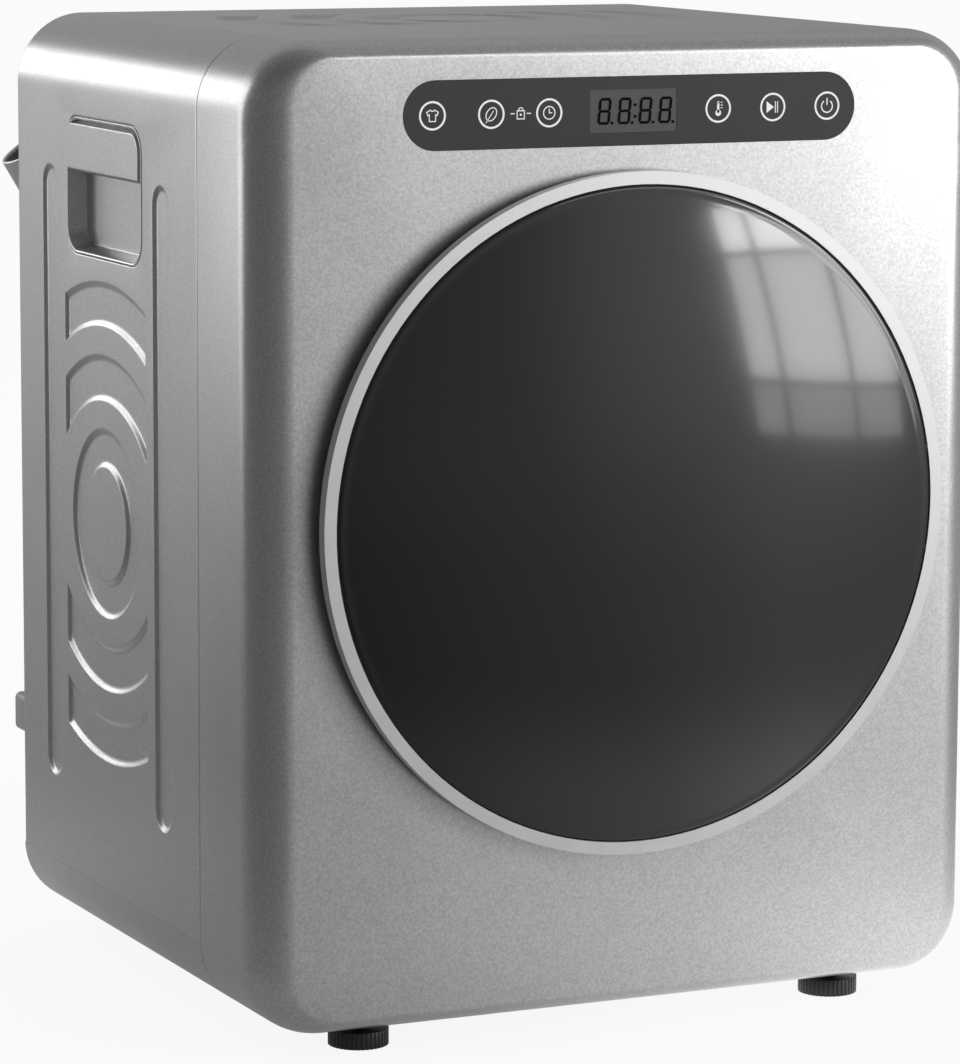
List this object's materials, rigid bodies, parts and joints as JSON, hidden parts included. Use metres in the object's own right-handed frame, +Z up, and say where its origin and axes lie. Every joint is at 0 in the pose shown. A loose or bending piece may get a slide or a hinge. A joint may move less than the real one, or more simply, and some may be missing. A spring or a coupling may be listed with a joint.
{
  "type": "vented tumble dryer",
  "caption": "Compact front-loading vented tumble dryer with round domed door, touch control strip, pressed-sheet cabinet and rear exhaust hood.",
  "frame": {"origin": "on the floor under the middle of the whole machine", "axes": "+Z up, the door faces -Y, +X to the right as seen from the front"},
  "size_m": [0.4812, 0.5277, 0.6],
  "materials": {
    "silver_paint": "satin silver paint",
    "galvanised": "galvanised sheet",
    "stainless": "stainless sheet",
    "steel": "plain steel",
    "silver_plastic": "satin silver",
    "black_plastic": "matt black",
    "grey_plastic": "matt grey",
    "white_plastic": "matt white",
    "strip_lens": "smooth tinted lens",
    "display_lens": "smoked display",
    "tinted_glass": "dark tinted, polished",
    "clear_glass": "clear, polished",
    "rubber": "matt black",
    "grey_rubber": "matt grey",
    "felt": "felt",
    "motor_paint": "black paint",
    "aluminium": "plain",
    "circuit": "coated board"
  },
  "bodies": {
    "cabinet": {"front_panel": "silver_paint", "cabinet_wrap": "silver_paint", "base_pan": "silver_paint", "rear_panel": "galvanised", "rear_screws": "steel", "rear_standoffs": "grey_plastic", "cord_gland": "black_plastic", "handle_left": "silver_plastic", "handle_right": "silver_plastic", "control_fascia": "strip_lens", "display_module": "display_lens", "control_board": "circuit", "control_box": "white_plastic", "front_ring": "grey_plastic", "felt_ring": "felt", "glide_pads": "white_plastic", "hinge_bracket": "galvanised", "hinge_pin": "steel", "latch_catch": "black_plastic", "door_switch": "white_plastic", "axle": "steel", "blower_housing": "grey_plastic", "blower_cover": "galvanised", "exhaust_collar": "grey_plastic", "exhaust_hood": "grey_plastic", "heater_duct": "galvanised", "ptc_heater": "aluminium", "thermostats": "black_plastic", "motor_body": "motor_paint", "motor_bracket": "galvanised", "capacitor": "white_plastic", "drive_belt": "rubber", "fan_belt": "rubber", "idler_bracket": "galvanised", "idler_spring": "steel", "power_board": "circuit", "foot_nuts": "steel"},
    "door": {"door_bezel": "silver_plastic", "door_dome": "tinted_glass", "door_frame": "black_plastic", "door_glass": "clear_glass", "door_seal": "grey_rubber", "hinge_arm": "steel", "door_screws": "steel", "latch_hook": "black_plastic"},
    "drum": {"drum_shell": "stainless", "drum_back": "stainless", "drum_hub": "aluminium", "drum_lifters": "grey_plastic"},
    "lint_filter": {"lint_filter": "white_plastic"},
    "fan": {"fan_wheel": "black_plastic"},
    "motor_rotor": {"motor_shaft": "steel", "fan_drive_pulley": "aluminium"},
    "idler_arm": {"idler_arm": "galvanised"},
    "idler_pulley": {"idler_pulley": "black_plastic"},
    "foot_front_left": {"foot_front_left": "black_plastic"},
    "foot_front_right": {"foot_front_right": "black_plastic"},
    "foot_rear_left": {"foot_rear_left": "black_plastic"},
    "foot_rear_right": {"foot_rear_right": "black_plastic"}
  },
  "joints": [
    {"name": "door_hinge", "type": "hinge", "parent": "cabinet", "child": "door", "pos_m": [0.198, -0.23967, 0.317], "axis": [0, 0, 1], "range_deg": [0, 105]},
    {"name": "drum_spin", "type": "hinge", "parent": "cabinet", "child": "drum", "pos_m": [0, -0.03017, 0.317], "axis": [0, -1, 0], "continuous": true},
    {"name": "fan_spin", "type": "hinge", "parent": "cabinet", "child": "fan", "pos_m": [0, 0.13483, 0.317], "axis": [0, -1, 0], "continuous": true},
    {"name": "motor_spin", "type": "hinge", "parent": "cabinet", "child": "motor_rotor", "pos_m": [0.15, 0.02983, 0.078], "axis": [0, -1, 0], "continuous": true},
    {"name": "idler_swing", "type": "hinge", "parent": "cabinet", "child": "idler_arm", "pos_m": [0.02, -0.11517, 0.052], "axis": [0, -1, 0], "range_deg": [0, 12], "stiffness_Nm_per_rad": 1, "springref_deg": -28.65},
    {"name": "idler_pulley_spin", "type": "hinge", "parent": "idler_arm", "child": "idler_pulley", "pos_m": [0.075, -0.10117, 0.075], "axis": [0, -1, 0], "continuous": true},
    {"name": "lint_filter_slide", "type": "slide", "parent": "drum", "child": "lint_filter", "axis": [0, -1, 0], "range_m": [0, 0.06]},
    {"name": "foot_front_left_level", "type": "slide", "parent": "cabinet", "child": "foot_front_left", "axis": [0, 0, -1], "range_m": [0, 0.008]},
    {"name": "foot_front_right_level", "type": "slide", "parent": "cabinet", "child": "foot_front_right", "axis": [0, 0, -1], "range_m": [0, 0.008]},
    {"name": "foot_rear_left_level", "type": "slide", "parent": "cabinet", "child": "foot_rear_left", "axis": [0, 0, -1], "range_m": [0, 0.008]},
    {"name": "foot_rear_right_level", "type": "slide", "parent": "cabinet", "child": "foot_rear_right", "axis": [0, 0, -1], "range_m": [0, 0.008]}
  ],
  "couplings": [
    {"joint": "motor_spin", "follows": "drum_spin", "ratio": 25},
    {"joint": "fan_spin", "follows": "drum_spin", "ratio": 33.929},
    {"joint": "idler_pulley_spin", "follows": "drum_spin", "ratio": 13.333}
  ]
}
